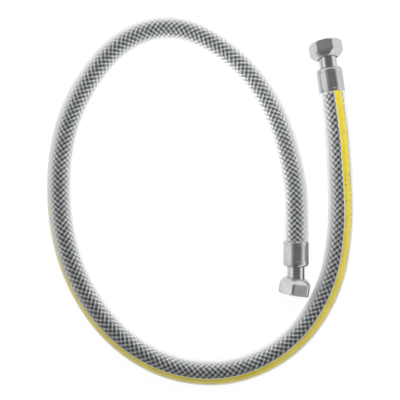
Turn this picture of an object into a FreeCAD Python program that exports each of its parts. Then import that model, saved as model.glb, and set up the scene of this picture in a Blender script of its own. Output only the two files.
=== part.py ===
import FreeCAD, Part
import math
import os

# Braided gas supply line, nominal 1000 mm between its two nut faces, DN12,
# female G1/2 swivel nut at both ends, lying in an open loop on a flat surface.
# Millimetres, +Z up, z = 0 is the surface the line lies on. The origin is on that
# surface, midway between the two end fittings (the centre of their footprint).

V = FreeCAD.Vector
os.makedirs("parts", exist_ok=True)

# ---- hose layers (radii) ----
LINER_IN = 6.00        # DN12 bore
LINER_OUT = 8.44
BRAID_IN = 8.50
BRAID_OUT = 9.30
SHEATH_IN = 9.36
SHEATH_OUT = 10.20
STRIPE_DEPTH = 0.30    # co-extruded yellow stripe, flush with the sheath
STRIPE_ARC = 38.0      # degrees of the sheath's girth
STRIPE_SIDE = 40.0     # degrees from straight up towards the outside of the loop
STRIPE_GAP = 0.01

# ---- end fitting: w is measured along the fitting from the ferrule's mouth ----
FERRULE_LEN = 20.0
FERRULE_OUT = 10.40
FERRULE_IN = 9.35
CRIMP_FLATS = 8
CRIMP_APOTHEM = 10.12
LIP_BORE = 6.55        # the ferrule's lip in the stem's groove
HOSE_IN_FERRULE = 16.4 # how far liner and braid run into the ferrule

STEM_BORE = 4.50
STEM_TIP = 1.5
BARB_PEAK = 5.97
BARB_ROOT = 5.40
BARB_PITCH = 2.6
BARBS = 5
COLLAR_AT = 16.6
NECK = 7.10
GROOVE = 6.53
FLANGE_AT = 32.40
FLANGE_LEN = 1.40
FLANGE = 8.50

NUT_AF = 24.0          # across flats
NUT_CORNER = 13.45     # the hexagon's corners are turned down to this radius
NUT_LEN = 13.4
NUT_SHOULDER = 5.0     # length of the rounded shoulder at the rear
NUT_REAR = 8.70        # radius of the rear face
NUT_FRONT = 12.2       # radius where the front chamfer starts
NUT_FRONT_LEN = 1.4
NUT_REAR_BORE = 7.65
NUT_REAR_WALL = 1.6
NUT_RELIEF_0 = 9.1     # cone of the chamber that holds the flange
NUT_RELIEF_1 = 10.6
NUT_RELIEF_AT = 7.0
THREAD_AT = 8.85       # G1/2 internal thread, shown at its minor diameter
THREAD_MINOR = 9.316
MOUTH_CHAMFER = 0.7
NUT_AT_A = 27.60       # rear face of each loose nut along its stem
NUT_AT_B = 29.25
WASHER_OUT = 9.90
WASHER_IN = 5.60
WASHER_LEN = 1.55

# ---- where the two ends lie ----
END_A = V(17.14, 61.63, 14.65)    # ferrule mouth
END_A_TURN = 8.0                  # degrees, the fitting's heading left of +Y
END_A_COCK_DOWN = 7.0             # the loose nut droops on its stem
END_A_COCK_SIDE = 0.5
END_A_HEX = -16.5                 # a flat's normal, degrees from up
END_B = V(-12.13, -60.04, 13.55)
END_B_TURN = 180.0
END_B_COCK_DOWN = 0.0
END_B_COCK_SIDE = -9.0
END_B_HEX = 44.0

# ---- route of the hose's axis: control points from mouth A to mouth B ----
ROUTE = [
    V(17.14, 61.63, 14.65),
    V(20.647, 36.675, 14.65),
    V(23.4, 6.96, 12.7),
    V(25.9, -46.14, 10.8),
    V(17.4, -98.59, 10.2),
    V(-12.7, -143.69, 10.2),
    V(-60.5, -168.64, 10.2),
    V(-114.8, -165.64, 10.2),
    V(-160.3, -138.04, 10.2),
    V(-191.2, -93.64, 10.2),
    V(-205.3, -43.84, 10.2),
    V(-205.3, 11.76, 10.2),
    V(-191.4, 58.76, 10.2),
    V(-155.9, 106.46, 10.2),
    V(-107, 119.46, 10.2),
    V(-57.6, 89.36, 10.2),
    V(-28.2, 46.36, 10.4),
    V(-13.8, -5.14, 11.8),
    V(-12.13, -34.84, 13.55),
    V(-12.13, -60.04, 13.55),
]


def turned(path):
    """Bend radius at each inner point of a route: 0.45 of the shorter run over the tangent of half the turn."""
    out = []
    for a, b, c in zip(path, path[1:], path[2:]):
        p, q = b - a, c - b
        turn = p.getAngle(q)
        out.append(0.45 * min(p.Length, q.Length) / math.tan(turn / 2))
    return out


def route_edges(path):
    """Straight runs joined by tangent arcs."""
    radii = turned(path)
    edges, at = [], path[0]
    for i, r in enumerate(radii):
        a, b, c = path[i], path[i + 1], path[i + 2]
        p, q = (b - a).normalize(), (c - b).normalize()
        turn = p.getAngle(q)
        back = r * math.tan(turn / 2)
        s, e = b - p * back, b + q * back
        side = (q - p).normalize()
        centre = b + side * (r / math.cos(turn / 2))
        mid = centre - side * r
        edges.append(Part.LineSegment(at, s).toShape())
        edges.append(Part.Arc(s, mid, e).toShape())
        at = e
    edges.append(Part.LineSegment(at, path[-1]).toShape())
    return edges


def sweep(outline, edges):
    """A closed outline carried along a chain of runs and arcs, as one solid."""
    wire = Part.Wire(edges)
    shape = wire.makePipeShell([outline], True, False)
    solid = shape.Solids[0] if shape.Solids else Part.Solid(shape)
    return solid


def ring_wire(at, along, r):
    return Part.Wire([Part.Circle(at, along, r).toShape()])


def turned_solid(points):
    """A body of revolution about +Z from (z, r) points."""
    wire = Part.makePolygon([V(r, 0, z) for z, r in points + points[:1]])
    return Part.Face(wire).revolve(V(0, 0, 0), V(0, 0, 1), 360)


def place(shape, at, x, y, z):
    """Local X, Y, Z go to x, y, z, and the local origin to at."""
    m = FreeCAD.Matrix(
        x.x, y.x, z.x, at.x,
        x.y, y.y, z.y, at.y,
        x.z, y.z, z.z, at.z,
        0, 0, 0, 1,
    )
    out = shape.copy()
    out.Placement = FreeCAD.Placement(m)
    return out


def save(name, shape):
    solids = shape.Solids
    assert len(solids) == 1, (name, len(solids))
    assert shape.isValid(), name
    solids[0].exportStep("parts/%s.step" % name)
    b = shape.BoundBox
    print("%-16s volume %9.1f mm3  box (%.2f %.2f %.2f) (%.2f %.2f %.2f)" % (
        name, shape.Volume, b.XMin, b.YMin, b.ZMin, b.XMax, b.YMax, b.ZMax))


# ---- local shapes of one end, along +Z ----
def make_stem():
    outer = [(STEM_TIP, STEM_BORE), (STEM_TIP, BARB_ROOT)]
    z = STEM_TIP + 0.6
    for _ in range(BARBS):
        outer += [(z, BARB_ROOT), (z + BARB_PITCH - 0.4, BARB_PEAK), (z + BARB_PITCH - 0.1, BARB_ROOT)]
        z += BARB_PITCH
    outer += [(COLLAR_AT, BARB_ROOT), (COLLAR_AT, NECK - 0.3), (COLLAR_AT + 0.3, NECK)]
    outer += [(18.2, NECK), (18.2, GROOVE), (19.7, GROOVE), (19.7, NECK)]
    outer += [(FLANGE_AT, NECK), (FLANGE_AT, FLANGE - 0.15), (FLANGE_AT + 0.15, FLANGE)]
    outer += [(FLANGE_AT + FLANGE_LEN - 0.2, FLANGE), (FLANGE_AT + FLANGE_LEN, FLANGE - 0.2)]
    outer += [(FLANGE_AT + FLANGE_LEN, STEM_BORE)]
    return turned_solid(outer)


def make_ferrule():
    r = FERRULE_OUT - 7.5
    c = math.sqrt(0.5) * r
    # rounded shoulder at the nut side
    outline = [
        Part.LineSegment(V(FERRULE_IN, 0, 0), V(FERRULE_OUT - 0.35, 0, 0)).toShape(),
        Part.LineSegment(V(FERRULE_OUT - 0.35, 0, 0), V(FERRULE_OUT, 0, 0.35)).toShape(),
        Part.LineSegment(V(FERRULE_OUT, 0, 0.35), V(FERRULE_OUT, 0, FERRULE_LEN - r)).toShape(),
        Part.Arc(V(FERRULE_OUT, 0, FERRULE_LEN - r), V(FERRULE_OUT - r + c, 0, FERRULE_LEN - r + c), V(FERRULE_OUT - r, 0, FERRULE_LEN)).toShape(),
    ]
    inner = [(FERRULE_OUT - r, FERRULE_LEN), (7.25, FERRULE_LEN), (7.25, 19.55), (LIP_BORE, 19.55), (LIP_BORE, 18.35), (7.4, 18.35), (FERRULE_IN, 16.9), (FERRULE_IN, 0)]
    for (r0, z0), (r1, z1) in zip(inner, inner[1:]):
        outline.append(Part.LineSegment(V(r0, 0, z0), V(r1, 0, z1)).toShape())
    body = Part.Face(Part.Wire(outline)).revolve(V(0, 0, 0), V(0, 0, 1), 360)
    # the crimping jaws leave flats along its length
    big = CRIMP_APOTHEM / math.cos(math.pi / CRIMP_FLATS)
    pts = [V(big * math.cos(2 * math.pi * (i + 0.5) / CRIMP_FLATS), big * math.sin(2 * math.pi * (i + 0.5) / CRIMP_FLATS), 2.2) for i in range(CRIMP_FLATS)]
    jaws = Part.Face(Part.makePolygon(pts + pts[:1])).extrude(V(0, 0, 13.2))
    waist = turned_solid([(2.2, 0), (2.2, 14), (15.4, 14), (15.4, 0)]).cut(jaws)
    return body.cut(waist)


def shoulder(full, steps=9):
    """(z, r) down the rounded rear shoulder, from the rear face to where it reaches its full radius."""
    out = []
    for i in range(steps):
        z = NUT_SHOULDER * i / (steps - 1)
        out.append((z, NUT_REAR + (full - NUT_REAR) * (1 - (1 - z / NUT_SHOULDER) ** 1.6)))
    return out


def curve_xz(points):
    c = Part.BSplineCurve()
    c.interpolate([V(r, 0, z) for z, r in points])
    return c.toShape()


def line_xz(a, b):
    return Part.LineSegment(V(a[0], 0, a[1]), V(b[0], 0, b[1])).toShape()


def make_nut():
    # each pair of flats is one slab whose rear edges round over
    half = NUT_AF / 2
    side = shoulder(half)
    right = curve_xz(side)
    left = curve_xz([(z, -r) for z, r in side])
    outline = Part.Wire([
        line_xz((-NUT_REAR, 0), (NUT_REAR, 0)), right, line_xz((half, NUT_SHOULDER), (half, NUT_LEN)),
        line_xz((half, NUT_LEN), (-half, NUT_LEN)), line_xz((-half, NUT_LEN), (-half, NUT_SHOULDER)), left,
    ])
    slab = Part.Face(outline).extrude(V(0, 40, 0))
    slab.translate(V(0, -20, 0))
    body = slab
    for turn in (60, 120):
        other = slab.copy()
        other.rotate(V(0, 0, 0), V(0, 0, 1), turn)
        body = body.common(other)
    # turned corners and front chamfer, and the hollow inside
    inner = [
        (NUT_FRONT, NUT_LEN), (10.5, NUT_LEN), (THREAD_MINOR, NUT_LEN - MOUTH_CHAMFER), (THREAD_MINOR, THREAD_AT),
        (NUT_RELIEF_1, THREAD_AT), (NUT_RELIEF_1, NUT_RELIEF_AT), (NUT_RELIEF_0, NUT_REAR_WALL),
        (NUT_REAR_BORE, NUT_REAR_WALL), (NUT_REAR_BORE, 0.3), (NUT_REAR_BORE + 0.3, 0.0), (NUT_REAR, 0.0),
    ]
    edges = [
        curve_xz(shoulder(NUT_CORNER)),
        line_xz((NUT_CORNER, NUT_SHOULDER), (NUT_CORNER, NUT_LEN - NUT_FRONT_LEN)),
        line_xz((NUT_CORNER, NUT_LEN - NUT_FRONT_LEN), (NUT_FRONT, NUT_LEN)),
    ] + [line_xz(a, b) for a, b in zip(inner, inner[1:])]
    blank = Part.Face(Part.Wire(edges)).revolve(V(0, 0, 0), V(0, 0, 1), 360)
    return blank.common(body)


def make_washer():
    z = THREAD_AT - WASHER_LEN
    return turned_solid([(z, WASHER_IN), (z, WASHER_OUT), (THREAD_AT, WASHER_OUT), (THREAD_AT, WASHER_IN)])


def fitting_axes(turn):
    """Out along the fitting, up, and the side direction that completes a right-handed set."""
    t = math.radians(turn)
    out = V(-math.sin(t), math.cos(t), 0)
    up = V(0, 0, 1)
    return out, up, up.cross(out)


def build_end(tag, mouth, turn, nut_at, down, side, hexa):
    out, up, across = fitting_axes(turn)
    save("hose_stem_" + tag, place(make_stem(), mouth, up, out.cross(up), out))
    save("crimp_ferrule_" + tag, place(make_ferrule(), mouth, up, out.cross(up), out))
    # the nut hangs on the stem about the middle of its rear wall
    pivot = mouth + out * (nut_at + NUT_REAR_WALL / 2)
    d, s = math.radians(down), math.radians(side)
    axis = (out * math.cos(s) + across * math.sin(s)) * math.cos(d) - up * math.sin(d)
    axis.normalize()
    high = (up - axis * up.dot(axis)).normalize()
    wide = axis.cross(high)
    h = math.radians(hexa)
    x = high * math.cos(h) + wide * math.sin(h)
    rear = pivot - axis * (NUT_REAR_WALL / 2)
    save("swivel_nut_" + tag, place(make_nut(), rear, x, axis.cross(x), axis))
    save("sealing_washer_" + tag, place(make_washer(), rear, x, axis.cross(x), axis))
    front = rear + axis * NUT_LEN
    wall = rear + axis * ((THREAD_AT + NUT_LEN - MOUTH_CHAMFER) / 2)
    for label, p in (("nut rear", rear), ("nut mouth", front), ("thread wall middle", wall)):
        print("%s %s (%.4f, %.4f, %.4f)" % (label, tag, p.x, p.y, p.z))
    print("nut axis %s (%.6f, %.6f, %.6f)" % (tag, axis.x, axis.y, axis.z))


# ---- the two ends ----
build_end("a", END_A, END_A_TURN, NUT_AT_A, END_A_COCK_DOWN, END_A_COCK_SIDE, END_A_HEX)
build_end("b", END_B, END_B_TURN, NUT_AT_B, END_B_COCK_DOWN, END_B_COCK_SIDE, END_B_HEX)

# ---- the hose ----
OUT_A = fitting_axes(END_A_TURN)[0]
OUT_B = fitting_axes(END_B_TURN)[0]
INNER_ROUTE = [ROUTE[0] + OUT_A * HOSE_IN_FERRULE] + ROUTE[1:-1] + [ROUTE[-1] + OUT_B * HOSE_IN_FERRULE]

bare = route_edges(ROUTE)
inner = route_edges(INNER_ROUTE)
print("bend radii", " ".join("%.0f" % r for r in turned(ROUTE)))
print("runs", " ".join("%.0f" % (b - a).Length for a, b in zip(ROUTE, ROUTE[1:])))
bare_len = sum(e.Length for e in bare)
inner_len = sum(e.Length for e in inner)
print("hose length between the ferrules %.1f, with its ends inside them %.1f" % (bare_len, inner_len))


def tube(edges, length, r_in, r_out, name):
    at = edges[0].Vertexes[0].Point
    along = (edges[0].Vertexes[1].Point - at).normalize()
    body = sweep(ring_wire(at, along, r_out), edges).cut(sweep(ring_wire(at, along, r_in), edges))
    want = math.pi * (r_out ** 2 - r_in ** 2) * length
    print("%s volume over section times length: %.4f" % (name, body.Volume / want))
    return body


save("inner_liner", tube(inner, inner_len, LINER_IN, LINER_OUT, "liner"))
save("wire_braid", tube(inner, inner_len, BRAID_IN, BRAID_OUT, "braid"))

# the stripe lies in a shallow groove of the sheath; its section is turned a fixed
# angle from straight up, towards the outside of the loop
start = ROUTE[0]
ahead = (ROUTE[1] - ROUTE[0]).normalize()
UP = V(0, 0, 1)
OUTSIDE = UP.cross(ahead) * -1
if OUTSIDE.x < 0:
    OUTSIDE = OUTSIDE * -1


def girth(r, degrees):
    t = math.radians(degrees)
    return start + (UP * math.cos(t) + OUTSIDE * math.sin(t)) * r


def sector_wire(r0, r1, lo, hi):
    mid = (lo + hi) / 2
    return Part.Wire([
        Part.LineSegment(girth(r0, lo), girth(r1, lo)).toShape(),
        Part.Arc(girth(r1, lo), girth(r1, mid), girth(r1, hi)).toShape(),
        Part.LineSegment(girth(r1, hi), girth(r0, hi)).toShape(),
        Part.Arc(girth(r0, hi), girth(r0, mid), girth(r0, lo)).toShape(),
    ])


LO, HI = STRIPE_SIDE - STRIPE_ARC / 2, STRIPE_SIDE + STRIPE_ARC / 2
floor_r = SHEATH_OUT - STRIPE_DEPTH
far = (LO + HI) / 2 + 180
notched = Part.Wire([
    Part.LineSegment(girth(SHEATH_OUT, LO), girth(floor_r, LO)).toShape(),
    Part.Arc(girth(floor_r, LO), girth(floor_r, STRIPE_SIDE), girth(floor_r, HI)).toShape(),
    Part.LineSegment(girth(floor_r, HI), girth(SHEATH_OUT, HI)).toShape(),
    Part.Arc(girth(SHEATH_OUT, HI), girth(SHEATH_OUT, far), girth(SHEATH_OUT, LO)).toShape(),
])
sheath = sweep(notched, bare).cut(sweep(ring_wire(start, ahead, SHEATH_IN), bare))
area = math.pi * (SHEATH_OUT ** 2 - SHEATH_IN ** 2) - math.radians(STRIPE_ARC) / 2 * (SHEATH_OUT ** 2 - floor_r ** 2)
print("sheath volume over section times length: %.4f" % (sheath.Volume / (area * bare_len)))
save("clear_sheath", sheath)
trim = math.degrees(STRIPE_GAP / SHEATH_OUT)
save("yellow_stripe", sweep(sector_wire(floor_r + STRIPE_GAP, SHEATH_OUT, LO + trim, HI - trim), bare))
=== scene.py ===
import math

import bpy
import numpy as np
from mathutils import Matrix, Vector


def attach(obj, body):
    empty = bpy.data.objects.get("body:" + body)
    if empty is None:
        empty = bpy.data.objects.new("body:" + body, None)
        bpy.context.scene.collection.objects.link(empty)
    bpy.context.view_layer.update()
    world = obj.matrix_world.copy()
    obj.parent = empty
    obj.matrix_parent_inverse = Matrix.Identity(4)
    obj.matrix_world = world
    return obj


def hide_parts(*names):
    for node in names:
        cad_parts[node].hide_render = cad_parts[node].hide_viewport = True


# Braided gas supply line: black liner, woven steel braid, clear sheath with a
# yellow stripe, and at both ends a crimped ferrule, a stem and a loose hexagon nut.
# Everything is in metres; the tables below are in millimetres and turned once.

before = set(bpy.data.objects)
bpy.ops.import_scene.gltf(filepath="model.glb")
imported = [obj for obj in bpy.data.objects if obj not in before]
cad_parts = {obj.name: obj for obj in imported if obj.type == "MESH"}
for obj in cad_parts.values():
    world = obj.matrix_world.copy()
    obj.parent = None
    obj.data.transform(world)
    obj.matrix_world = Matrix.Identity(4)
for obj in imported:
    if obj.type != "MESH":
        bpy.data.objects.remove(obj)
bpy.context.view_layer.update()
scene = bpy.context.scene
MM = 0.001

# ------------------------------------------------------------------ camera
cam_data = bpy.data.cameras.new("camera")
cam_data.sensor_width = 36.0
cam_data.lens = 61.46
cam_data.clip_start, cam_data.clip_end = 0.01, 50.0
cam = bpy.data.objects.new("camera", cam_data)
scene.collection.objects.link(cam)
cam.location = (-0.0904, -0.02574, 0.5702)
scene.camera = cam
EYE = np.array(cam.location)

# ------------------------------------------------------------------ route of the hose
ROUTE = [
    (17.14, 61.63, 14.65),
    (20.647, 36.675, 14.65),
    (23.4, 6.96, 12.7),
    (25.9, -46.14, 10.8),
    (17.4, -98.59, 10.2),
    (-12.7, -143.69, 10.2),
    (-60.5, -168.64, 10.2),
    (-114.8, -165.64, 10.2),
    (-160.3, -138.04, 10.2),
    (-191.2, -93.64, 10.2),
    (-205.3, -43.84, 10.2),
    (-205.3, 11.76, 10.2),
    (-191.4, 58.76, 10.2),
    (-155.9, 106.46, 10.2),
    (-107, 119.46, 10.2),
    (-57.6, 89.36, 10.2),
    (-28.2, 46.36, 10.4),
    (-13.8, -5.14, 11.8),
    (-12.13, -34.84, 13.55),
    (-12.13, -60.04, 13.55),
]

# the hose's section
LINER_IN, LINER_OUT = 6.0, 8.44
SHEATH_IN, SHEATH_OUT = 9.36, 10.20
STRIPE_DEPTH, STRIPE_ARC, STRIPE_GAP = 0.30, 38.0, 0.01
IN_FERRULE = 16.4
CARRIERS = 12          # each way
# The lay is tighter towards end B: millimetres along, and the axial length of one turn.
LEADS = [(0, 59.0), (330, 59.0), (390, 56.5), (480, 54.5), (560, 53.2), (660, 52.0), (905, 52.0)]
WIRES, WIRE_R = 5, 0.140
WEAVE_R, WEAVE = 8.88, 0.175

# The stripe winds slowly round the hose: millimetres along from end A, and degrees
# from straight up towards the outside of the loop.
STRIPE_TURN = [
    (-20, 15), (0, 16), (60, 20), (110, 27), (180, 28), (230, 30), (270, 35), (320, 38), (370, 42),
    (410, 54), (450, 66), (500, 83), (540, 97), (600, 114), (660, 128), (720, 138), (800, 147),
    (860, 152), (925, 156),
]


def spline_points():
    """The route's NURBS line as a list of points along it."""
    data = bpy.data.curves.new("route", "CURVE")
    data.dimensions = "3D"
    data.resolution_u = 48
    line = data.splines.new("NURBS")
    line.points.add(len(ROUTE) - 1)
    for p, (x, y, z) in zip(line.points, ROUTE):
        p.co = (x * MM, y * MM, z * MM, 1.0)
    line.order_u = 3
    line.use_endpoint_u = True
    obj = bpy.data.objects.new("route", data)
    scene.collection.objects.link(obj)
    mesh = bpy.data.meshes.new_from_object(obj)
    points = np.array([v.co for v in mesh.vertices], float)
    bpy.data.objects.remove(obj)
    bpy.data.meshes.remove(mesh)
    keep = np.r_[True, np.linalg.norm(np.diff(points, axis=0), axis=1) > 1e-7]
    return points[keep]


def unit(v):
    return v / np.linalg.norm(v, axis=-1, keepdims=True)


RAW = spline_points() / MM
if np.linalg.norm(RAW[0] - np.array(ROUTE[0])) > 1:
    RAW = RAW[::-1]
RAW_S = np.r_[0, np.cumsum(np.linalg.norm(np.diff(RAW, axis=0), axis=1))]
LENGTH = RAW_S[-1]
HEAD_A = unit(RAW[0] - RAW[1])
HEAD_B = unit(RAW[-1] - RAW[-2])


def at(s):
    """Centre, tangent, up and outward side of the hose at distances s along it (mm)."""
    s = np.asarray(s, float)

    def place(q):
        p = np.stack([np.interp(q, RAW_S, RAW[:, i]) for i in range(3)], -1)
        p += np.where(q < 0, -q, 0)[..., None] * HEAD_A
        p += np.where(q > LENGTH, q - LENGTH, 0)[..., None] * HEAD_B
        return p

    c = place(s)
    t = unit(place(s + 1.6) - place(s - 1.6))
    up = np.array([0.0, 0.0, 1.0]) - t * t[..., 2:3]
    up = unit(up)
    side = np.cross(up, t)
    return c, t, up, side


def stripe_angle(s):
    s = np.asarray(s, float)
    ks = np.array([p[0] for p in STRIPE_TURN], float)
    ka = np.array([p[1] for p in STRIPE_TURN], float)
    span = np.linspace(-24, 24, 13)
    return np.radians(np.mean([np.interp(s + d, ks, ka) for d in span], axis=0))


# ------------------------------------------------------------------ mesh helpers
def make_mesh(name, verts, polys, smooth=True, layers=None, material=None):
    """A mesh from points in mm and quads, with its faces turned outward."""
    verts = np.asarray(verts, float) * MM
    quads = np.concatenate([np.asarray(p, np.int64).reshape(-1, 4) for p in polys])
    a, b, c, d = (verts[quads[:, i]] for i in range(4))
    volume = np.einsum("ij,ij->i", a, np.cross(b, c)).sum() + np.einsum("ij,ij->i", a, np.cross(c, d)).sum()
    if volume < 0:
        quads = quads[:, ::-1]
    mesh = bpy.data.meshes.new(name)
    mesh.vertices.add(len(verts))
    mesh.vertices.foreach_set("co", verts.astype(np.float32).ravel())
    mesh.loops.add(quads.size)
    mesh.loops.foreach_set("vertex_index", quads.astype(np.int32).ravel())
    mesh.polygons.add(len(quads))
    mesh.polygons.foreach_set("loop_start", np.arange(0, quads.size, 4, dtype=np.int32))
    mesh.polygons.foreach_set("use_smooth", np.full(len(quads), smooth))
    mesh.update(calc_edges=True)
    for key, values in (layers or {}).items():
        values = np.asarray(values, np.float32)
        vector = values.ndim == 2 and values.shape[1] == 3
        attribute = mesh.attributes.new(key, "FLOAT_VECTOR" if vector else "FLOAT", "POINT")
        attribute.data.foreach_set("vector" if vector else "value", values.ravel())
    obj = bpy.data.objects.new(name, mesh)
    scene.collection.objects.link(obj)
    if material is not None:
        mesh.materials.append(material)
    return obj


def tube_quads(n, m, base=0, loop=False):
    """Quads over n rings of m points, joined end to end where loop is set."""
    i = np.arange(n if loop else n - 1)[:, None]
    j = np.arange(m)[None, :]
    k = (i + 1) % n
    return base + np.stack([i * m + j, i * m + (j + 1) % m, k * m + (j + 1) % m, k * m + j], -1).reshape(-1, 4)


def hose_rings(s, radii, angles):
    """Points at radii and angles (from up towards the outside) round the hose at each s."""
    c, t, up, side = at(s)
    cos, sin = np.cos(angles)[..., None], np.sin(angles)[..., None]
    return c[:, None, :] + np.asarray(radii)[..., None] * (up[:, None, :] * cos + side[:, None, :] * sin)


# ------------------------------------------------------------------ materials
def material(name):
    m = bpy.data.materials.new(name)
    m.use_nodes = True
    nt = m.node_tree
    nt.nodes.clear()
    out = nt.nodes.new("ShaderNodeOutputMaterial")
    return m, nt, out


def node(nt, kind, **inputs):
    n = nt.nodes.new(kind)
    for k, v in inputs.items():
        n.inputs[k.replace("_", " ")].default_value = v
    return n


def noise(nt, scale, detail=3.0, rough=0.5, stretch=None):
    co = nt.nodes.new("ShaderNodeTexCoord")
    mapping = nt.nodes.new("ShaderNodeMapping")
    mapping.inputs["Scale"].default_value = stretch or (1, 1, 1)
    nt.links.new(co.outputs["Object"], mapping.inputs["Vector"])
    tex = nt.nodes.new("ShaderNodeTexNoise")
    tex.inputs["Scale"].default_value = scale
    tex.inputs["Detail"].default_value = detail
    tex.inputs["Roughness"].default_value = rough
    nt.links.new(mapping.outputs["Vector"], tex.inputs["Vector"])
    return tex


def ramp(nt, source, stops):
    r = nt.nodes.new("ShaderNodeValToRGB")
    while len(r.color_ramp.elements) > 1:
        r.color_ramp.elements.remove(r.color_ramp.elements[-1])
    r.color_ramp.elements[0].position = stops[0][0]
    r.color_ramp.elements[0].color = (*stops[0][1], 1)
    for at_, colour in stops[1:]:
        e = r.color_ramp.elements.new(at_)
        e.color = (*colour, 1)
    nt.links.new(source, r.inputs["Fac"])
    return r


def map_range(nt, source, lo, hi, to_lo, to_hi):
    n = nt.nodes.new("ShaderNodeMapRange")
    n.inputs["From Min"].default_value = lo
    n.inputs["From Max"].default_value = hi
    n.inputs["To Min"].default_value = to_lo
    n.inputs["To Max"].default_value = to_hi
    nt.links.new(source, n.inputs["Value"])
    return n


def attribute(nt, key):
    n = nt.nodes.new("ShaderNodeAttribute")
    n.attribute_name = key
    return n


def calc(nt, operation, a, b=None):
    n = nt.nodes.new("ShaderNodeMath")
    n.operation = operation
    for socket, v in zip(n.inputs, (a, b)):
        if isinstance(v, (int, float)):
            socket.default_value = v
        elif v is not None:
            nt.links.new(v, socket)
    return n.outputs["Value"]


def section_facing(nt):
    """How nearly edge on the hose's wall is seen round its section, 0 to 1, whichever way the hose runs there."""
    run = attribute(nt, "run")
    turn = nt.nodes.new("ShaderNodeVectorTransform")
    turn.vector_type, turn.convert_from, turn.convert_to = "VECTOR", "OBJECT", "WORLD"
    nt.links.new(run.outputs["Vector"], turn.inputs["Vector"])
    along = node(nt, "ShaderNodeLayerWeight", Blend=0.5)
    nt.links.new(turn.outputs["Vector"], along.inputs["Normal"])
    out = node(nt, "ShaderNodeLayerWeight", Blend=0.5)
    lengthwise = calc(nt, "SUBTRACT", 1.0, along.outputs["Facing"])
    outward = calc(nt, "SUBTRACT", 1.0, out.outputs["Facing"])
    square = calc(nt, "SUBTRACT", 1.0, calc(nt, "MULTIPLY", lengthwise, lengthwise))
    across = calc(nt, "SQRT", calc(nt, "MAXIMUM", square, 0.003))
    level = calc(nt, "MINIMUM", calc(nt, "DIVIDE", outward, across), 1.0)
    return calc(nt, "SUBTRACT", 1.0, calc(nt, "POWER", level, 0.7))


def bump(nt, source, strength, distance):
    b = nt.nodes.new("ShaderNodeBump")
    b.inputs["Strength"].default_value = strength
    b.inputs["Distance"].default_value = distance
    nt.links.new(source, b.inputs["Height"])
    return b


def liner_material():
    m, nt, out = material("black_rubber")
    b = node(nt, "ShaderNodeBsdfPrincipled", Metallic=0.0)
    tex = noise(nt, 900, 4)
    c = ramp(nt, tex.outputs["Fac"], [(0.3, (0.008, 0.008, 0.009)), (0.7, (0.022, 0.022, 0.024))])
    nt.links.new(c.outputs["Color"], b.inputs["Base Color"])
    r = map_range(nt, tex.outputs["Fac"], 0.3, 0.7, 0.55, 0.75)
    nt.links.new(r.outputs["Result"], b.inputs["Roughness"])
    nt.links.new(bump(nt, tex.outputs["Fac"], 0.25, 0.0002).outputs["Normal"], b.inputs["Normal"])
    nt.links.new(b.outputs["BSDF"], out.inputs["Surface"])
    return m


def wire_material():
    m, nt, out = material("braid_wire")
    b = node(nt, "ShaderNodeBsdfPrincipled", Metallic=0.5)
    # painted highlight and shade: each float's colour is made brightest where it crests over the strand it crosses
    # and darker between crossings, on top of the painted shade carried in the tone attribute
    tone, column = attribute(nt, "tone"), attribute(nt, "column")
    turns = node(nt, "ShaderNodeMath")
    turns.operation = "MULTIPLY"
    turns.inputs[1].default_value = 2 * math.pi
    nt.links.new(column.outputs["Fac"], turns.inputs[0])
    crest = node(nt, "ShaderNodeMath")
    crest.operation = "COSINE"
    nt.links.new(turns.outputs["Value"], crest.inputs[0])
    painted_crest_highlight = map_range(nt, crest.outputs["Value"], -1.0, 1.0, 0.60, 1.0)
    lit = node(nt, "ShaderNodeMath")
    lit.operation = "MULTIPLY"
    nt.links.new(tone.outputs["Fac"], lit.inputs[0])
    nt.links.new(painted_crest_highlight.outputs["Result"], lit.inputs[1])
    # the painted light and shade set the wire's colour, from near black to near white
    c = ramp(nt, lit.outputs["Value"], [(0.0, (0.026, 0.028, 0.028)), (0.30, (0.210, 0.222, 0.222)), (0.73, (0.80, 0.825, 0.825)), (1.0, (0.98, 0.99, 0.99))])
    nt.links.new(c.outputs["Color"], b.inputs["Base Color"])
    tex = noise(nt, 1500, 2)
    r = map_range(nt, tex.outputs["Fac"], 0.3, 0.7, 0.24, 0.36)
    nt.links.new(r.outputs["Result"], b.inputs["Roughness"])
    nt.links.new(b.outputs["BSDF"], out.inputs["Surface"])
    return m


# how much of the sheath is milky, from face on to edge on
HAZE = [(0.0, 0.02), (0.06, 0.08), (0.13, 0.23), (0.23, 0.39), (0.31, 0.56), (0.41, 0.74), (0.60, 0.88), (1.0, 0.94)]
# the haze's own near-white colour from face on to edge on; the fall to 0.76 partway out is painted shade, a grey line
# near the wall's edge
HAZE_TONE = [(0.0, 0.93), (0.33, 0.93), (0.45, 0.76), (0.62, 0.86), (1.0, 0.95)]


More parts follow.
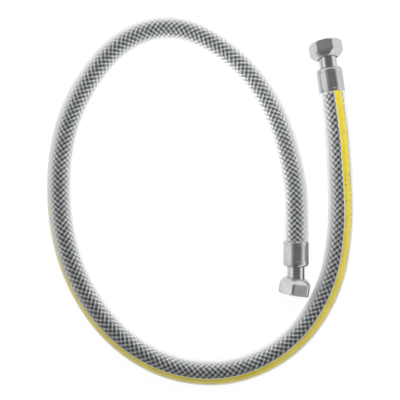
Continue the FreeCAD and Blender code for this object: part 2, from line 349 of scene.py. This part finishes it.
def sheath_material():
    """Clear PVC: gloss over what lies behind it, with a faint milky haze that thickens where the wall is seen edge on."""
    m, nt, out = material("clear_pvc")
    clear = node(nt, "ShaderNodeBsdfTransparent", Color=(0.985, 0.99, 0.99, 1))
    haze = node(nt, "ShaderNodeBsdfDiffuse", Color=(0.93, 0.94, 0.94, 1), Roughness=0.3)
    gloss = node(nt, "ShaderNodeBsdfGlossy", Color=(0.62, 0.62, 0.62, 1), Roughness=0.24)
    tex = noise(nt, 260, 3)
    # only the wall's outer face is milky and glossy, the inner one just lets light through
    side = nt.nodes.new("ShaderNodeNewGeometry")
    outer = nt.nodes.new("ShaderNodeMath")
    outer.operation = "SUBTRACT"
    outer.inputs[0].default_value = 1.0
    nt.links.new(side.outputs["Backfacing"], outer.inputs[1])

    def outside(source):
        times = nt.nodes.new("ShaderNodeMath")
        times.operation = "MULTIPLY"
        nt.links.new(source, times.inputs[0])
        nt.links.new(outer.outputs["Value"], times.inputs[1])
        return times.outputs["Value"]

    edge = section_facing(nt)
    thick = ramp(nt, edge, [(z, (v,) * 3) for z, v in HAZE])
    # painted shade: the haze's colour darkens in a band partway to the wall's edge
    tone = ramp(nt, edge, [(z, (v, v * 1.005, v)) for z, v in HAZE_TONE])
    nt.links.new(tone.outputs["Color"], haze.inputs["Color"])
    mix_haze = nt.nodes.new("ShaderNodeMixShader")
    nt.links.new(outside(thick.outputs["Color"]), mix_haze.inputs["Fac"])
    nt.links.new(clear.outputs["BSDF"], mix_haze.inputs[1])
    nt.links.new(haze.outputs["BSDF"], mix_haze.inputs[2])
    fresnel = nt.nodes.new("ShaderNodeFresnel")
    fresnel.inputs["IOR"].default_value = 1.5
    normal = bump(nt, tex.outputs["Fac"], 0.12, 0.0004)
    nt.links.new(normal.outputs["Normal"], gloss.inputs["Normal"])
    mix = nt.nodes.new("ShaderNodeMixShader")
    nt.links.new(outside(fresnel.outputs["Fac"]), mix.inputs["Fac"])
    nt.links.new(mix_haze.outputs["Shader"], mix.inputs[1])
    nt.links.new(gloss.outputs["BSDF"], mix.inputs[2])
    nt.links.new(mix.outputs["Shader"], out.inputs["Surface"])
    return m


def stripe_material():
    m, nt, out = material("yellow_pvc")
    b = node(nt, "ShaderNodeBsdfPrincipled", Metallic=0.0)
    b.inputs["Coat Weight"].default_value = 0.5
    b.inputs["Coat Roughness"].default_value = 0.12
    # the clear skin over the stripe pales it where it is seen edge on
    b.inputs["Sheen Weight"].default_value = 0.8
    b.inputs["Sheen Roughness"].default_value = 0.35
    b.inputs["Sheen Tint"].default_value = (1.0, 1.0, 0.95, 1.0)
    b.inputs["Subsurface Weight"].default_value = 0.08
    b.inputs["Subsurface Radius"].default_value = (0.001, 0.0007, 0.0002)
    tex = noise(nt, 120, 4)
    c = ramp(nt, tex.outputs["Fac"], [(0.3, (0.55, 0.44, 0.018)), (0.7, (0.64, 0.535, 0.030))])
    # short printed ticks in two rows, on the run next to end A
    along, across = attribute(nt, "along"), attribute(nt, "across")
    tick = nt.nodes.new("ShaderNodeMath"); tick.operation = "PINGPONG"
    nt.links.new(along.outputs["Fac"], tick.inputs[0]); tick.inputs[1].default_value = 2.1
    fine = noise(nt, 700, 1)
    ink_a = map_range(nt, tick.outputs["Value"], 0.75, 0.9, 1.0, 0.0)
    row = nt.nodes.new("ShaderNodeMath"); row.operation = "PINGPONG"
    nt.links.new(across.outputs["Fac"], row.inputs[0]); row.inputs[1].default_value = 0.25
    ink_b = map_range(nt, row.outputs["Value"], 0.19, 0.21, 0.0, 1.0)
    where = nt.nodes.new("ShaderNodeMath"); where.operation = "COMPARE"
    nt.links.new(along.outputs["Fac"], where.inputs[0]); where.inputs[1].default_value = 78.0; where.inputs[2].default_value = 14.0
    speck = map_range(nt, fine.outputs["Fac"], 0.42, 0.5, 0.0, 1.0)
    product = None
    for source in (ink_a.outputs["Result"], ink_b.outputs["Result"], where.outputs["Value"], speck.outputs["Result"]):
        if product is None:
            product = source
            continue
        times = nt.nodes.new("ShaderNodeMath"); times.operation = "MULTIPLY"
        nt.links.new(product, times.inputs[0]); nt.links.new(source, times.inputs[1])
        product = times.outputs["Value"]
    mix = nt.nodes.new("ShaderNodeMix"); mix.data_type = "RGBA"
    nt.links.new(product, mix.inputs["Factor"])
    nt.links.new(c.outputs["Color"], mix.inputs["A"])
    mix.inputs["B"].default_value = (0.06, 0.05, 0.02, 1)
    nt.links.new(mix.outputs["Result"], b.inputs["Base Color"])
    r = map_range(nt, tex.outputs["Fac"], 0.3, 0.7, 0.28, 0.4)
    nt.links.new(r.outputs["Result"], b.inputs["Roughness"])
    nt.links.new(b.outputs["BSDF"], out.inputs["Surface"])
    return m


def metal_material(name, dark, light, rough_lo, rough_hi, grain, stretch, strength):
    m, nt, out = material(name)
    b = node(nt, "ShaderNodeBsdfPrincipled", Metallic=1.0)
    tex = noise(nt, 180, 4)
    c = ramp(nt, tex.outputs["Fac"], [(0.3, dark), (0.7, light)])
    nt.links.new(c.outputs["Color"], b.inputs["Base Color"])
    # fine machining marks, in the part's own directions
    mark = attribute(nt, "mark")
    lines = nt.nodes.new("ShaderNodeTexNoise")
    lines.noise_dimensions = "1D"
    lines.inputs["Scale"].default_value = grain
    lines.inputs["Detail"].default_value = 4
    nt.links.new(mark.outputs["Fac"], lines.inputs["W"])
    r = map_range(nt, lines.outputs["Fac"], 0.3, 0.7, rough_lo, rough_hi)
    nt.links.new(r.outputs["Result"], b.inputs["Roughness"])
    nt.links.new(bump(nt, lines.outputs["Fac"], strength, 0.00004).outputs["Normal"], b.inputs["Normal"])
    nt.links.new(b.outputs["BSDF"], out.inputs["Surface"])
    return m


M_LINER, M_WIRE, M_SHEATH, M_STRIPE = liner_material(), wire_material(), sheath_material(), stripe_material()
M_STEM = metal_material("bright_nickel", (0.42, 0.42, 0.417), (0.50, 0.50, 0.497), 0.20, 0.28, 3.0, None, 0.25)
M_FERRULE = metal_material("satin_steel", (0.42, 0.425, 0.43), (0.50, 0.505, 0.51), 0.30, 0.40, 2.2, None, 0.5)
M_NUT = metal_material("satin_nickel", (0.46, 0.46, 0.457), (0.54, 0.54, 0.537), 0.30, 0.40, 2.6, None, 0.4)
M_WASHER = liner_material()
M_WASHER.name = "washer_rubber"

# ------------------------------------------------------------------ the hose
rng = np.random.default_rng(7)


def make_liner():
    s = np.arange(-IN_FERRULE, LENGTH + IN_FERRULE + 1.9, 2.0)
    s[-1] = LENGTH + IN_FERRULE
    m = 48
    ang = np.arange(m) * 2 * math.pi / m
    outer = hose_rings(s, np.full((len(s), m), LINER_OUT), np.tile(ang, (len(s), 1)))
    inner = hose_rings(s[::-1], np.full((len(s), m), LINER_IN), np.tile(ang, (len(s), 1)))
    pts = np.concatenate([outer, inner]).reshape(-1, 3)
    return make_mesh("liner_tube", pts, [tube_quads(2 * len(s), m, loop=True)], material=M_LINER)


def strip_section():
    """A flat strand of round wires side by side: (across, height, tone) round its section. The tone is painted shade:
    the outer wires darker than the middle ones, the valleys between wires and the underside darker still.
    """
    half = WIRES * WIRE_R
    pts = [(-half, 0.0, 0.30)]
    for w, tone in enumerate((0.62, 0.90, 1.0, 0.90, 0.62)):
        c = -half + (2 * w + 1) * WIRE_R
        pts.append((c, WIRE_R, tone))
        pts.append((c + WIRE_R, 0.02 if w < WIRES - 1 else 0.0, 0.35 * tone if w < WIRES - 1 else 0.30))
    pts += [(half - 0.1, -WIRE_R, 0.3), (-half + 0.1, -WIRE_R, 0.3)]
    return np.array(pts)


SECTION = strip_section()
CREASE = SECTION[:, 2] < 0.5


def strand(lay, k, wander):
    """One carrier's strand: rings of points, and a tone for each point, which is painted shade: the section's painted
    shade, darker still where the strand passes under.
    """
    n = int(round((LENGTH + 2 * IN_FERRULE) / 1.12)) + 1
    s = np.linspace(-IN_FERRULE, LENGTH + IN_FERRULE, n)
    rate = 1 / np.interp(s, [p[0] for p in LEADS], [p[1] for p in LEADS])
    turns = np.r_[0, np.cumsum((rate[1:] + rate[:-1]) / 2 * np.diff(s))]
    # slight unevenness of a real braid
    drift = sum(a * np.sin(2 * math.pi * s / p + q) for a, p, q in wander)
    theta = lay * 2 * math.pi * turns + 2 * math.pi * k / CARRIERS + np.radians(drift)
    column = theta * CARRIERS / math.pi
    over = np.clip(1.45 * np.cos(2 * math.pi * (column - 0.5) / 4), -1, 1) * (1 if lay > 0 else -1)
    r = WEAVE_R + WEAVE * over
    c, t, up, side = at(s)
    radial = up * np.cos(theta)[:, None] + side * np.sin(theta)[:, None]
    centre = c + radial * r[:, None]
    ahead = unit(np.gradient(c + radial * WEAVE_R, axis=0))
    across = unit(np.cross(radial, ahead))
    pts = centre[:, None, :] + across[:, None, :] * SECTION[None, :, 0:1] + radial[:, None, :] * SECTION[None, :, 1:2]
    # painted shade: the strand's colour is darkened where it passes under the other lay
    shade = SECTION[None, :, 2] * (0.76 + 0.24 * over[:, None])
    return pts, shade, np.repeat(column[:, None], len(SECTION), axis=1)


def make_braid(name, lay, carriers):
    verts, quads, tones, columns_, base = [], [], [], [], 0
    for k in carriers:
        wander = [(rng.uniform(0.3, 0.8), rng.uniform(40, 160), rng.uniform(0, 6.3)) for _ in range(3)]
        pts, shade, column = strand(lay, k, wander)
        columns_.append(column.ravel())
        n, m = pts.shape[:2]
        wires = 1 + 0.10 * rng.standard_normal(m)[None, :] + 0.05 * rng.standard_normal((n, 1))
        verts.append(pts.reshape(-1, 3))
        # the tone layer holds the painted shade times a random tone for each wire
        tones.append(np.clip(shade * wires, 0, 1).ravel())
        quads.append(tube_quads(n, m, base))
        # the strand's two cut ends
        for end in (0, n - 1):
            b = base + end * m
            for i in range(1, m // 2):
                quads.append(np.array([[b + i, b + i + 1, b + m - 1 - i, b + m - i]]) if i + 1 < m - 1 - i else np.zeros((0, 4), int))
        base += n * m
    obj = make_mesh(name, np.concatenate(verts), quads, layers={"tone": np.concatenate(tones), "column": np.concatenate(columns_)}, material=M_WIRE)
    # the valleys between wires are creases, so each wire shades as a round one
    mesh, m = obj.data, len(SECTION)
    ends = np.zeros(2 * len(mesh.edges), np.int32)
    mesh.edges.foreach_get("vertices", ends)
    column = ends.reshape(-1, 2) % m
    sharp = mesh.attributes.new("sharp_edge", "BOOLEAN", "EDGE")
    sharp.data.foreach_set("value", (column[:, 0] == column[:, 1]) & CREASE[column[:, 0]])
    return obj


def make_sheath():
    s = np.linspace(0, LENGTH, int(LENGTH / 1.8))
    half = math.radians(STRIPE_ARC / 2)
    around = np.linspace(half, 2 * math.pi - half, 57)
    groove = np.linspace(-half, half, 9)
    mid = stripe_angle(s)[:, None]
    ang = np.concatenate([mid + around[None, :], mid + 2 * math.pi + groove[None, :]], axis=1)
    rad = np.concatenate([np.full((len(s), 57), SHEATH_OUT), np.full((len(s), 9), SHEATH_OUT - STRIPE_DEPTH)], axis=1)
    m = ang.shape[1]
    outer = hose_rings(s, rad, ang)
    inner = hose_rings(s[::-1], np.full((len(s), m), SHEATH_IN), ang[::-1])
    pts = np.concatenate([outer, inner]).reshape(-1, 3)
    run = at(s)[1]
    obj = make_mesh("sheath_clear", pts, [tube_quads(2 * len(s), m, loop=True)],
                    layers={"run": np.repeat(np.concatenate([run, run[::-1]]), m, axis=0)}, material=M_SHEATH)
    return obj, at(s)[0] * MM


def make_stripe():
    s = np.linspace(0, LENGTH, int(LENGTH / 1.8))
    trim = STRIPE_GAP / SHEATH_OUT
    half = math.radians(STRIPE_ARC / 2) - trim
    across = np.linspace(-half, half, 11)
    mid = stripe_angle(s)[:, None]
    ang = np.concatenate([mid + across[None, :], mid + across[None, ::-1]], axis=1)
    rad = np.concatenate([np.full((len(s), 11), SHEATH_OUT), np.full((len(s), 11), SHEATH_OUT - STRIPE_DEPTH + STRIPE_GAP)], axis=1)
    pts = hose_rings(s, rad, ang)
    n, m = pts.shape[:2]
    quads = [tube_quads(n, m)]
    for b in (0, (n - 1) * m):
        for i in range(10):
            quads.append(np.array([[b + i, b + i + 1, b + m - 2 - i, b + m - 1 - i]]))
    share = np.concatenate([np.linspace(0, 1, 11), np.linspace(1, 0, 11)])
    return make_mesh("stripe_yellow", pts.reshape(-1, 3), quads,
                     layers={"along": np.repeat(s, m), "across": np.tile(share, n), "run": np.repeat(at(s)[1], m, axis=0)},
                     material=M_STRIPE)


liner = make_liner()
braids = []
for lay, tag in ((1, "r"), (-1, "l")):
    for g in range(4):
        braids.append(make_braid("braid_strands_%s%d" % (tag, g + 1), lay, range(g * 3, g * 3 + 3)))
sheath, sheath_path = make_sheath()
# clear PVC lets the light in to the braid from all round
sheath.visible_diffuse = sheath.visible_glossy = sheath.visible_shadow = False
stripe = make_stripe()


# ------------------------------------------------------------------ the end fittings
def rounded(points, radius, steps=3):
    """A closed outline of (z, r) points with every corner eased by a small radius."""
    out = []
    n = len(points)
    for i in range(n):
        a, b, c = (np.array(points[j % n], float) for j in (i - 1, i, i + 1))
        p, q = a - b, c - b
        lp, lq = np.linalg.norm(p), np.linalg.norm(q)
        back = min(radius, 0.42 * lp, 0.42 * lq)
        turn = abs(math.atan2(np.cross(p, q), p @ q))
        if turn > math.radians(172) or back < 1e-4:
            out.append(b)
            continue
        s, e = b + p / lp * back, b + q / lq * back
        for k in range(steps + 1):
            f = k / steps
            out.append((1 - f) ** 2 * s + 2 * f * (1 - f) * b + f * f * e)
    return out


def polar_mesh(name, rings, seg, to_part, mat, mark):
    """Rings of (z, radius at each angle) turned about the fitting's axis and placed by to_part."""
    ang = np.arange(seg) * 2 * math.pi / seg
    pts, marks = [], []
    for z, r in rings:
        r = np.broadcast_to(r, (seg,))
        z = np.broadcast_to(z, (seg,))
        pts.append(np.stack([r * np.cos(ang), r * np.sin(ang), z], -1))
        marks.append(mark(z, r, ang))
    pts = np.array(pts)
    flat = pts.reshape(-1, 3) @ to_part[0].T + to_part[1]
    return make_mesh(name, flat, [tube_quads(len(rings), seg, loop=True)], layers={"mark": np.array(marks)}, material=mat)


def turned(name, outline, radius, seg, to_part, mat):
    return polar_mesh(name, [(p[0], p[1]) for p in rounded(outline, radius)], seg, to_part, mat,
                      lambda z, r, a: z * 2.0 + r * 3.0)


def stem_outline():
    tip, bore, root, peak = 1.5, 4.5, 5.4, 5.97
    outer = [(tip, bore), (tip, root)]
    z = tip + 0.6
    for _ in range(5):
        outer += [(z, root), (z + 2.2, peak), (z + 2.5, root)]
        z += 2.6
    outer += [(16.6, root), (16.6, 7.10), (18.2, 7.10), (18.2, 6.53), (19.7, 6.53), (19.7, 7.10)]
    outer += [(32.40, 7.10), (32.40, 8.5), (33.80, 8.5), (33.80, bore)]
    return outer


def make_ferrule(name, to_part):
    r_out, r_in, length, apothem = 10.40, 9.35, 20.0, 10.12
    seg = 192
    ang = np.arange(seg) * 2 * math.pi / seg
    flat = (ang + math.pi / 8) % (math.pi / 4) - math.pi / 8
    rings = []
    # mouth edge, crimped length, rounded shoulder, lip and the hollow inside
    rings += [(0.0, 9.45), (0.0, 10.05), (0.04, 10.2), (0.14, 10.32), (0.35, r_out)]
    for z in np.r_[0.8, 1.5, np.arange(2.0, 3.0, 0.125), np.arange(3.0, 14.8, 0.6), np.arange(14.8, 15.8, 0.125), 16.1, 16.6]:
        depth = min(1.0, max(0.0, (z - 2.1) / 0.7)) * min(1.0, max(0.0, (15.5 - z) / 0.7))
        depth = depth * depth * (3 - 2 * depth)
        jaw = apothem / np.cos(flat)
        # smooth corner where a flat meets the round
        k = 0.06
        h = np.clip(0.5 + 0.5 * (r_out - jaw) / k, 0, 1)
        cut = r_out * (1 - h) + jaw * h - k * h * (1 - h)
        rings.append((z, r_out + (cut - r_out) * depth))
    sh = r_out - 7.5
    for a in np.linspace(0, math.pi / 2, 12):
        rings.append((length - sh + sh * math.sin(a), r_out - sh + sh * math.cos(a)))
    rings += [(20.0, 7.35), (19.95, 7.25), (19.6, 7.25), (19.55, 7.2), (19.55, 6.6), (19.5, 6.55), (18.4, 6.55),
              (18.35, 6.6), (18.35, 7.35), (18.3, 7.45), (16.9, r_in), (8.0, r_in), (0.1, r_in)]
    return polar_mesh(name, rings, seg, to_part, M_FERRULE, lambda z, r, a: a * 14.0 + 0.02 * z)


PITCH, MINOR, MAJOR = 1.814, 9.316, 10.43
NUT_LEN, NUT_SHOULDER, NUT_REAR, THREAD_AT = 13.4, 5.0, 8.70, 8.85


def smin(a, b, k):
    h = np.clip(0.5 + 0.5 * (b - a) / k, 0, 1)
    return b * (1 - h) + a * h - k * h * (1 - h)


def shoulder(z, full):
    z = min(max(z, 0.0), NUT_SHOULDER)
    return NUT_REAR + (full - NUT_REAR) * (1 - (1 - z / NUT_SHOULDER) ** 1.6)


def make_nut(name, to_part):
    seg = 288
    ang = np.arange(seg) * 2 * math.pi / seg
    psi = np.abs((ang + math.pi / 6) % (math.pi / 3) - math.pi / 6)
    zs = np.r_[0.0, 0.05, 0.12, 0.22, 0.34, 0.5, np.arange(0.7, 5.6, 0.16), np.arange(5.7, 11.9, 0.25), np.arange(11.9, 13.0, 0.12), 13.0, 13.08, 13.16, 13.24, 13.31, 13.36, 13.39, 13.4]
    rings = []
    for z in zs:
        flat = shoulder(z, 12.0)
        r = smin(flat / np.cos(psi), flat / np.cos(math.pi / 3 - psi), 0.35)
        r = smin(r, np.full(seg, shoulder(z, 13.45)), 0.30)
        r = smin(r, np.full(seg, 13.45 - max(0.0, z - 12.0) * 0.893), 0.15)
        if z < 0.34:
            r = r - (0.34 - z) ** 2 * 2.6
        if z > 13.1:
            r = r - (z - 13.1) ** 2 * 2.6
        rings.append((z, r))
    rings += [(NUT_LEN, 11.7), (NUT_LEN, 11.0), (NUT_LEN, 10.55), (NUT_LEN - 0.03, 10.45)]
    # threaded wall: the grooves run out into the mouth's chamfer
    for z in np.arange(13.3, THREAD_AT + 0.05, -0.11):
        mouth = MINOR + max(0.0, (z - 12.7) / 0.7) * 1.184
        turn = (z - ang * PITCH / (2 * math.pi)) / PITCH
        wave = np.abs((turn % 1.0) * 2 - 1)          # 0 at a crest's middle, 1 at a groove's
        groove = np.clip((wave - 0.12) / 0.76, 0, 1)
        fade = min(1.0, max(0.0, (z - THREAD_AT) / 0.6))
        rings.append((z, np.maximum(MINOR + (MAJOR - MINOR) * groove * fade, mouth)))
    rings += [(THREAD_AT, MINOR + 0.05), (THREAD_AT, 10.5), (THREAD_AT - 0.1, 10.6), (7.1, 10.6), (6.9, 10.57), (1.7, 9.13), (1.6, 9.05), (1.6, 7.75), (1.55, 7.65),
              (0.32, 7.65), (0.2, 7.72), (0.05, 7.9), (0.0, 8.0)]
    return polar_mesh(name, rings, seg, to_part, M_NUT,
                      lambda z, r, a: np.where((z > 1.5) & (r > 11.8), z * 3.0, r * 3.0 + z))


def make_washer(name, to_part):
    z0, z1 = 7.30, 8.82
    return turned(name, [(z0, 5.6), (z0, 9.9), (z1, 9.9), (z1, 5.6)], 0.3, 96, to_part, M_WASHER)


def columns(at_, x, y, z):
    return np.array([x, y, z], float).T, np.array(at_, float)


REAR_WALL = 1.6
for tag, mouth, turn, nut_at, down, side_, hexa in (
    ("a", (17.14, 61.63, 14.65), 8.0, 27.60, 7.0, 0.5, -16.5),
    ("b", (-12.13, -60.04, 13.55), 180.0, 29.25, 0.0, -9.0, 44.0),
):
    mouth = np.array(mouth)
    t = math.radians(turn)
    out = np.array([-math.sin(t), math.cos(t), 0.0])
    up = np.array([0.0, 0.0, 1.0])
    fixed = columns(mouth, up, np.cross(out, up), out)
    across = np.cross(up, out)
    d, s_ = math.radians(down), math.radians(side_)
    axis = (out * math.cos(s_) + across * math.sin(s_)) * math.cos(d) - up * math.sin(d)
    axis = axis / np.linalg.norm(axis)
    high = unit(up - axis * (up @ axis))
    wide = np.cross(axis, high)
    h = math.radians(hexa)
    x = high * math.cos(h) + wide * math.sin(h)
    rear = mouth + out * (nut_at + REAR_WALL / 2) - axis * (REAR_WALL / 2)
    loose = columns(rear, x, np.cross(axis, x), axis)

    stem = turned("stem_" + tag, stem_outline(), 0.12, 128, fixed, M_STEM)
    ferrule = make_ferrule("ferrule_" + tag, fixed)
    nut = make_nut("nut_" + tag, loose)
    washer = make_washer("washer_" + tag, loose)
    for piece, body, cad, slot in (
        (stem, "hose", "hose_stem_", "plated_brass_stem"),
        (ferrule, "hose", "crimp_ferrule_", "ferrule_steel"),
        (nut, "nut_" + tag, "swivel_nut_", "plated_brass_nut"),
        (washer, "nut_" + tag, "sealing_washer_", "washer_rubber"),
    ):
        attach(piece, body)
        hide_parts(cad + tag)

for piece, cad, slot in [(liner, "inner_liner", "liner_rubber"), (sheath, "clear_sheath", "clear_pvc"), (stripe, "yellow_stripe", "yellow_pvc")] + [(b, "wire_braid", "braid_steel") for b in braids]:
    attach(piece, "hose")
    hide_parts(cad)

# ------------------------------------------------------------------ floor and light
FLOOR_IN, FLOOR_OUT = 1.4, 1.08
LANTERN = 2.7
SOFTBOX = 0.65
SKY = [(0.0, 1.6), (0.35, 1.6), (0.52, 1.4), (0.65, 0.75), (0.74, 0.26), (0.85, 0.19), (1.0, 0.24)]


def make_floor():
    mesh = bpy.data.meshes.new("floor")
    h = 6.0
    mesh.from_pydata([(-h, -h, -0.0003), (h, -h, -0.0003), (h, h, -0.0003), (-h, h, -0.0003)], [], [(0, 1, 2, 3)])
    obj = bpy.data.objects.new("floor", mesh)
    scene.collection.objects.link(obj)
    m, nt, out = material("white_floor")
    b = node(nt, "ShaderNodeBsdfDiffuse", Color=(0.86, 0.86, 0.86, 1))
    e = node(nt, "ShaderNodeEmission", Color=(1, 1, 1, 1))
    # a lit table: brightest inside the loop, plain white to the eye
    co = nt.nodes.new("ShaderNodeTexCoord")
    near = nt.nodes.new("ShaderNodeVectorMath")
    near.operation = "DISTANCE"
    near.inputs[1].default_value = (-0.085, 0.030, 0.0)
    nt.links.new(co.outputs["Object"], near.inputs[0])
    glow = map_range(nt, near.outputs["Value"], 0.06, 0.17, FLOOR_IN, FLOOR_OUT)
    path = nt.nodes.new("ShaderNodeLightPath")
    power = nt.nodes.new("ShaderNodeMix")
    nt.links.new(path.outputs["Is Camera Ray"], power.inputs["Factor"])
    nt.links.new(glow.outputs["Result"], power.inputs["A"])
    power.inputs["B"].default_value = 1.06
    nt.links.new(power.outputs["Result"], e.inputs["Strength"])
    mix = nt.nodes.new("ShaderNodeMixShader")
    mix.inputs["Fac"].default_value = 0.9
    nt.links.new(b.outputs["BSDF"], mix.inputs[1])
    nt.links.new(e.outputs["Emission"], mix.inputs[2])
    nt.links.new(mix.outputs["Shader"], out.inputs["Surface"])
    mesh.materials.append(m)
    return obj


def make_world():
    """White round the horizon and dark overhead, as in a studio tent with an open top."""
    world = bpy.data.worlds.new("studio")
    scene.world = world
    world.use_nodes = True
    nt = world.node_tree
    nt.nodes.clear()
    out = nt.nodes.new("ShaderNodeOutputWorld")
    co = nt.nodes.new("ShaderNodeTexCoord")
    split = nt.nodes.new("ShaderNodeSeparateXYZ")
    nt.links.new(co.outputs["Generated"], split.inputs["Vector"])
    shade = ramp(nt, split.outputs["Z"], [(z, (v / 2,) * 3) for z, v in SKY])
    light = nt.nodes.new("ShaderNodeBackground")
    nt.links.new(shade.outputs["Color"], light.inputs["Color"])
    light.inputs["Strength"].default_value = 2.0
    plain = nt.nodes.new("ShaderNodeBackground")
    plain.inputs["Color"].default_value = (1, 1, 1, 1)
    plain.inputs["Strength"].default_value = 1.0
    path = nt.nodes.new("ShaderNodeLightPath")
    mix = nt.nodes.new("ShaderNodeMixShader")
    nt.links.new(path.outputs["Is Camera Ray"], mix.inputs["Fac"])
    nt.links.new(light.outputs["Background"], mix.inputs[1])
    nt.links.new(plain.outputs["Background"], mix.inputs[2])
    nt.links.new(mix.outputs["Shader"], out.inputs["Surface"])


def make_lantern():
    """A low soft light standing inside the loop, out of the camera's sight."""
    seg, r, z0, z1 = 32, 0.035, 0.001, 0.130
    cx, cy = -0.085, 0.030
    ang = np.arange(seg) * 2 * math.pi / seg
    verts = [(cx + r * math.cos(a), cy + r * math.sin(a), z) for z in (z0, z1) for a in ang]
    faces = [(i, (i + 1) % seg, seg + (i + 1) % seg, seg + i) for i in range(seg)]
    mesh = bpy.data.meshes.new("lantern")
    mesh.from_pydata(verts, [], faces)
    obj = bpy.data.objects.new("lantern", mesh)
    scene.collection.objects.link(obj)
    m, nt, out = material("lantern")
    e = node(nt, "ShaderNodeEmission", Color=(1, 1, 1, 1))
    co = nt.nodes.new("ShaderNodeTexCoord")
    split = nt.nodes.new("ShaderNodeSeparateXYZ")
    nt.links.new(co.outputs["Object"], split.inputs["Vector"])
    power = map_range(nt, split.outputs["Z"], 0.03, 0.13, LANTERN, 0.0)
    power.interpolation_type = "SMOOTHSTEP"
    nt.links.new(power.outputs["Result"], e.inputs["Strength"])
    nt.links.new(e.outputs["Emission"], out.inputs["Surface"])
    mesh.materials.append(m)
    obj.visible_camera = False
    obj.visible_shadow = False
    obj.visible_glossy = False
    return obj


def make_softbox():
    """A round soft light over the loop, nearer its top and right."""
    data = bpy.data.lights.new("softbox", "AREA")
    data.shape, data.size, data.energy = "DISK", 0.30, SOFTBOX
    obj = bpy.data.objects.new("softbox", data)
    obj.location = (-0.05, 0.10, 0.25)
    obj.visible_camera = obj.visible_glossy = False
    scene.collection.objects.link(obj)
    return obj


def make_card():
    """A black card standing below the loop, which keeps the light off its bottom run."""
    mesh = bpy.data.meshes.new("card")
    y, (x0, x1), (z0, z1) = -0.385, (-0.42, 0.10), (0.10, 0.52)
    mesh.from_pydata([(x0, y, z0), (x1, y, z0), (x1, y, z1), (x0, y, z1)], [], [(0, 1, 2, 3)])
    obj = bpy.data.objects.new("card", mesh)
    scene.collection.objects.link(obj)
    m, nt, out = material("black_card")
    b = node(nt, "ShaderNodeBsdfDiffuse", Color=(0.03, 0.03, 0.03, 1))
    nt.links.new(b.outputs["BSDF"], out.inputs["Surface"])
    mesh.materials.append(m)
    obj.visible_camera = False
    return obj


make_floor()
make_world()
make_card()
make_lantern()
make_softbox()
scene.view_settings.view_transform = "Standard"
scene.view_settings.look = "None"
scene.cycles.max_bounces = 10
scene.cycles.transparent_max_bounces = 16
scene.cycles.diffuse_bounces = 3
scene.cycles.glossy_bounces = 4
scene.cycles.sample_clamp_indirect = 4.0
scene.cycles.caustics_reflective = False
scene.cycles.caustics_refractive = False
